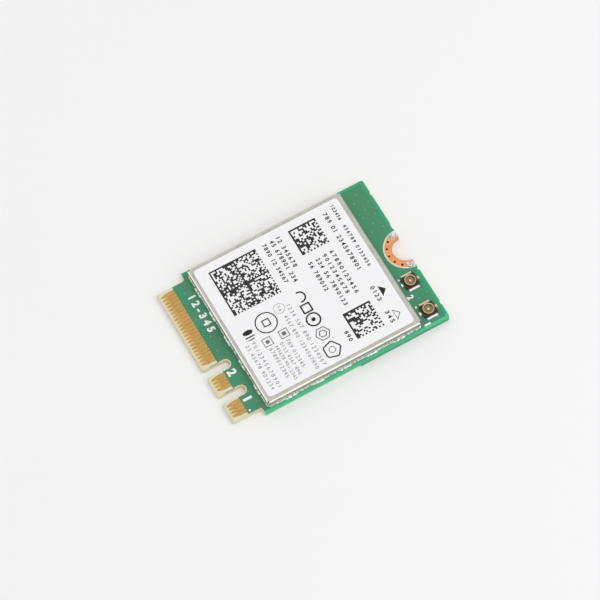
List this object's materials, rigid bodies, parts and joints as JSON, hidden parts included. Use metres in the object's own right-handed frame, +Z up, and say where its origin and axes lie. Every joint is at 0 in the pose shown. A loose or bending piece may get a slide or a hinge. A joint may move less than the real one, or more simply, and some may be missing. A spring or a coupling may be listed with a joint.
{
  "type": "laptop wifi card",
  "caption": "Flat plug-in radio card: keyed gold edge contacts at one end, half-moon hold-down notch at the other, a folded shield can over the electronics and two miniature coax antenna sockets.",
  "frame": {"origin": "middle of the card's underside, which lies on the surface: the centre of the bounding box's lowest face", "axes": "+X across the card towards contact 1, the corner with the outer antenna socket; +Y along the card from the contact edge to the hold-down notch; +Z up, out of the component side"},
  "size_m": [0.022, 0.03, 0.0022],
  "materials": {
    "laminate": "cut woven glass laminate, pale yellow",
    "green_lacquer": "satin green lacquer film",
    "gold_plating": "thin gold over nickel",
    "bare_copper": "matt protected copper",
    "solder": "bright uneven solder",
    "shield_sheet": "dull nickel-silver sheet, warm grey",
    "label_paper": "white coated paper",
    "black_moulding": "black moulded plastic",
    "ceramic": "fired ceramic",
    "brown_ceramic": "fired ceramic, brown",
    "grey_core": "pressed ferrite",
    "crystal_can": "welded metal cover"
  },
  "bodies": {
    "root": {"circuit_board": "laminate", "solder_mask_top": "green_lacquer", "solder_mask_bottom": "green_lacquer", "edge_contacts_top": "gold_plating", "edge_contacts_bottom": "gold_plating", "mounting_pad": "bare_copper", "mounting_pad_tinning": "solder", "shield_frame": "shield_sheet", "shield_lid": "shield_sheet", "shield_solder": "solder", "label": "label_paper", "antenna_socket_1_base": "black_moulding", "antenna_socket_1_shell": "gold_plating", "antenna_socket_1_pin": "gold_plating", "antenna_socket_2_base": "black_moulding", "antenna_socket_2_shell": "gold_plating", "antenna_socket_2_pin": "gold_plating", "wireless_chip": "black_moulding", "front_end_module_1": "black_moulding", "front_end_module_2": "black_moulding", "diplexer_1": "ceramic", "diplexer_2": "ceramic", "band_filter_1": "ceramic", "band_filter_2": "ceramic", "crystal": "crystal_can", "memory_chip": "black_moulding", "power_inductor_1": "grey_core", "power_inductor_2": "grey_core", "power_switch": "black_moulding", "large_capacitors": "brown_ceramic", "small_capacitors": "brown_ceramic", "resistors": "black_moulding", "chip_inductors": "grey_core"}
  },
  "joints": []
}
